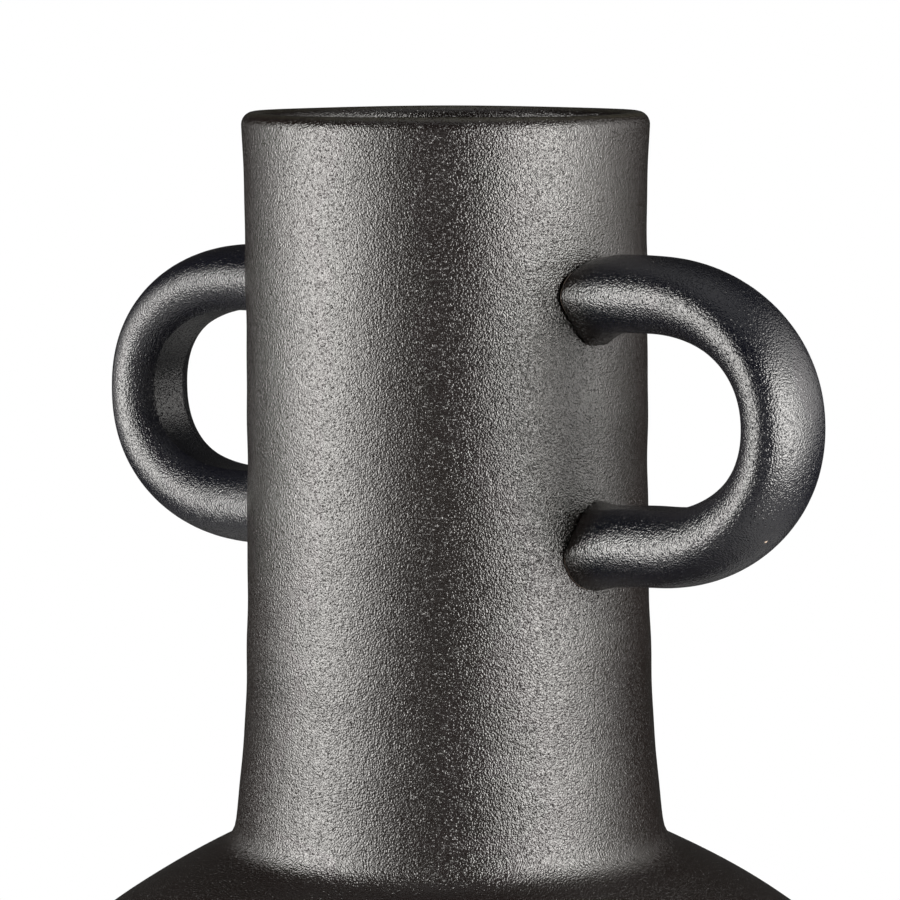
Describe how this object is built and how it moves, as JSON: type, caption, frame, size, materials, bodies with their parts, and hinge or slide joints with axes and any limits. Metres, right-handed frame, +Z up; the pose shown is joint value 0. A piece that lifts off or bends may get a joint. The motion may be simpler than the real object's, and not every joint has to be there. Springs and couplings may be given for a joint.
{
  "type": "amphora vase",
  "caption": "Hollow fired vase with a round belly on a foot ring, a tall straight neck with a rounded lip, and a loop handle on each side of the neck.",
  "frame": {"origin": "centre of the foot's underside, on the surface that the vase stands on", "axes": "+Z up along the vase's turning axis, +X and -X towards the two handles, +Y square to both"},
  "size_m": [0.2999, 0.3, 0.46],
  "materials": {
    "glaze": "black satin glaze with a fine sandy grain"
  },
  "bodies": {
    "root": {"vase": "glaze"}
  },
  "joints": []
}
